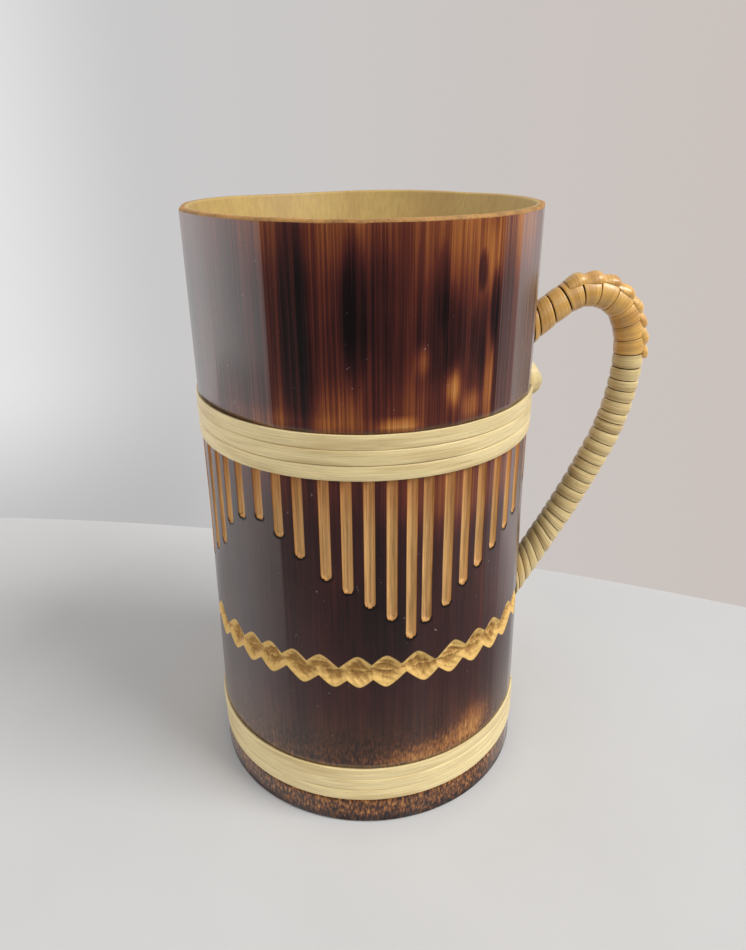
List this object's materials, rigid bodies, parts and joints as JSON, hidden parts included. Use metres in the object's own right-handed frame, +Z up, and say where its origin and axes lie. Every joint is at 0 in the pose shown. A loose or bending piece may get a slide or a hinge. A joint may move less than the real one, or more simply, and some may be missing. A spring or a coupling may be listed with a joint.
{
  "type": "bamboo cup",
  "caption": "Tall bamboo mug with carved flutes and a carved chain, two bands of wound strip and a wrapped side handle.",
  "frame": {"origin": "centre of the foot ring, on the plane that the cup stands on", "axes": "+Z up along the cup's axis, +X towards the handle"},
  "size_m": [0.1188, 0.0864, 0.15],
  "materials": {
    "bamboo": "scorched and varnished bamboo, satin",
    "pale_strip": "split bamboo strip, dry",
    "amber_strip": "cane strip, satin",
    "rod": "bent cane rod, plain"
  },
  "bodies": {
    "root": {"cup_body": "bamboo", "upper_band": "pale_strip", "upper_band_fold": "pale_strip", "lower_band": "pale_strip", "handle_rod": "rod", "handle_wrap_upper": "amber_strip", "handle_wrap_lower": "pale_strip", "handle_knots": "amber_strip"}
  },
  "joints": []
}
